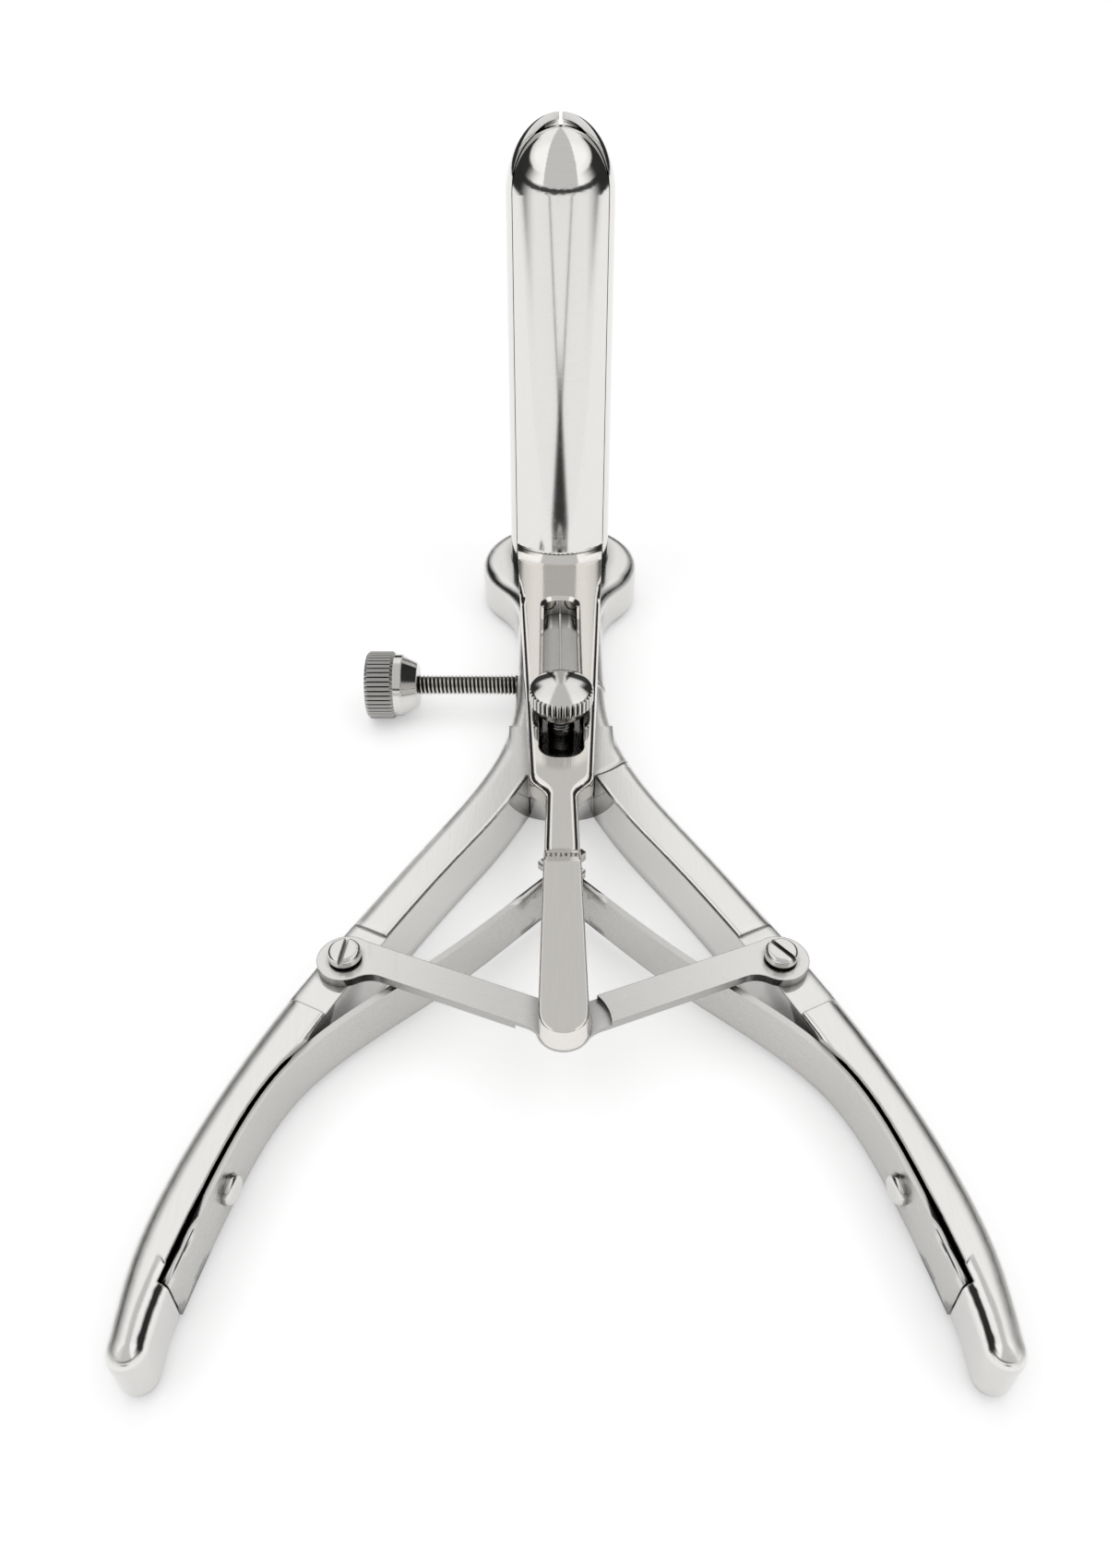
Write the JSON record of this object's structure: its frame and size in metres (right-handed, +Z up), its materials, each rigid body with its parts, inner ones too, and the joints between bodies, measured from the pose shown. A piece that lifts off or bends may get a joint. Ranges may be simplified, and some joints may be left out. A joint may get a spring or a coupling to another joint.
{
  "type": "anal speculum",
  "caption": "Self-retaining anal speculum: a slender tube split lengthwise in three blades, opened by squeezing two sprung handles, with a sliding front blade, clamp knob and set screw.",
  "frame": {"origin": "centre of the pivot stud's flush head, in the plane of the levers' backs that the object rests on", "axes": "+X to the right across the levers, +Y from the pivot towards the blades (the handles point to -Y), +Z up, square to the levers' backs and along the pivot's axis"},
  "size_m": [0.1046, 0.2054, 0.0957],
  "materials": {
    "polished_lever": "polished",
    "satin_blade": "satin polished",
    "polished_plate": "polished",
    "polished_link": "polished",
    "spring_steel": "ground",
    "turned_steel": "turned"
  },
  "bodies": {
    "center": {"pivot_stud": "turned_steel"},
    "left_arm": {"left_lever": "polished_lever", "left_blade": "satin_blade", "left_link_screw": "turned_steel", "left_spring": "spring_steel", "left_spring_screw": "turned_steel"},
    "right_arm": {"right_lever": "polished_lever", "right_blade": "satin_blade", "right_link_screw": "turned_steel", "right_spring": "spring_steel", "right_spring_screw": "turned_steel"},
    "front_slide": {"front_blade": "satin_blade", "slide_plate": "polished_plate", "apex_rivet": "turned_steel"},
    "left_link_body": {"left_link": "polished_link"},
    "right_link_body": {"right_link": "polished_link"},
    "set_screw": {"set_screw_rod": "turned_steel", "set_screw_head": "turned_steel"},
    "knob": {"clamp_knob": "turned_steel"}
  },
  "joints": [
    {"name": "right_lever_turn", "type": "hinge", "parent": "center", "child": "right_arm", "pos_m": [0, 0, 0], "axis": [0, 0, -1], "range_deg": [0, 15], "stiffness_Nm_per_rad": 0.8, "springref_deg": -5.73, "deforming": ["right_spring"]},
    {"name": "left_lever_turn", "type": "hinge", "parent": "center", "child": "left_arm", "pos_m": [0, 0, 0], "axis": [0, 0, 1], "range_deg": [0, 15], "deforming": ["left_spring"]},
    {"name": "front_blade_slide", "type": "slide", "parent": "center", "child": "front_slide", "axis": [0, -1, 0], "range_m": [0, 0.0269]},
    {"name": "right_link_turn", "type": "hinge", "parent": "right_arm", "child": "right_link_body", "pos_m": [0.0322, -0.057, 0.0107], "axis": [0, 0, 1], "range_deg": [0, 57.7]},
    {"name": "left_link_turn", "type": "hinge", "parent": "left_arm", "child": "left_link_body", "pos_m": [-0.0322, -0.057, 0.0107], "axis": [0, 0, -1], "range_deg": [0, 57.7]},
    {"name": "set_screw_feed", "type": "slide", "parent": "left_arm", "child": "set_screw", "axis": [-1, 0, 0], "range_m": [0, 0.008]},
    {"name": "clamp_knob_lift", "type": "slide", "parent": "center", "child": "knob", "axis": [0, 0, 1], "range_m": [0, 0.0025]}
  ],
  "couplings": [
    {"joint": "left_lever_turn", "follows": "right_lever_turn", "ratio": 1},
    {"joint": "front_blade_slide", "follows": "right_lever_turn", "m_per_rad": 0.10244},
    {"joint": "right_link_turn", "follows": "right_lever_turn", "ratio": 3.8438},
    {"joint": "left_link_turn", "follows": "right_lever_turn", "ratio": 3.8438}
  ]
}
